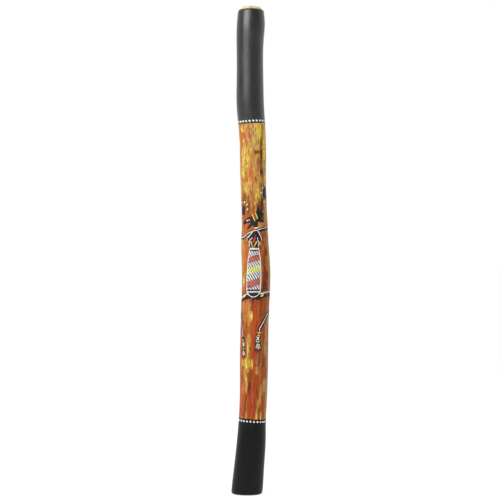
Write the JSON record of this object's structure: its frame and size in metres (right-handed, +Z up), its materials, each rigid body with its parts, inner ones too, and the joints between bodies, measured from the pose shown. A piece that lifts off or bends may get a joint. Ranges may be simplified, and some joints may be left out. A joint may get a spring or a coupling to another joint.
{
  "type": "didgeridoo",
  "caption": "Long, gently crooked hollow wooden wind instrument with a beeswax mouthpiece ring, black ends, raised dots and a painted animal on a streaked ground.",
  "frame": {"origin": "middle of the bounding box, on the plane of the bell end's foot", "axes": "+Z up along the instrument from bell end to mouth end, the painted animal faces -Y, +X to the right of someone facing the animal"},
  "size_m": [0.0969, 0.0797, 1.2],
  "materials": {
    "wood": "bare eucalyptus wood",
    "beeswax": "hand-moulded beeswax, soft sheen",
    "black_paint": "satin black acrylic paint",
    "ground_paint": "brushed yellow, orange, red and brown acrylic paint under varnish",
    "white_paint": "thick white acrylic paint",
    "cream_paint": "pale acrylic paint with fine lines",
    "red_paint": "brick red acrylic paint",
    "yellow_paint": "yellow acrylic paint",
    "dark_paint": "black acrylic paint of the animal"
  },
  "bodies": {
    "root": {"hollow_log": "wood", "beeswax_mouthpiece": "beeswax", "mouth_end_black_coat": "black_paint", "bell_end_black_coat": "black_paint", "brushed_ground_coat": "ground_paint", "upper_dot_ring": "white_paint", "lower_dot_ring": "white_paint", "kangaroo_body_outline": "white_paint", "kangaroo_body_cream_bands": "cream_paint", "kangaroo_body_red_bands": "red_paint", "kangaroo_body_yellow_band": "yellow_paint", "kangaroo_body_dark_bands": "dark_paint", "kangaroo_head": "dark_paint", "kangaroo_chest": "dark_paint", "kangaroo_left_arm": "dark_paint", "kangaroo_right_arm": "dark_paint", "kangaroo_left_leg": "dark_paint", "kangaroo_right_leg": "dark_paint", "kangaroo_tail": "dark_paint", "kangaroo_white_claws": "white_paint", "kangaroo_white_lines": "white_paint", "kangaroo_yellow_marks": "yellow_paint", "kangaroo_red_marks": "red_paint"}
  },
  "joints": []
}
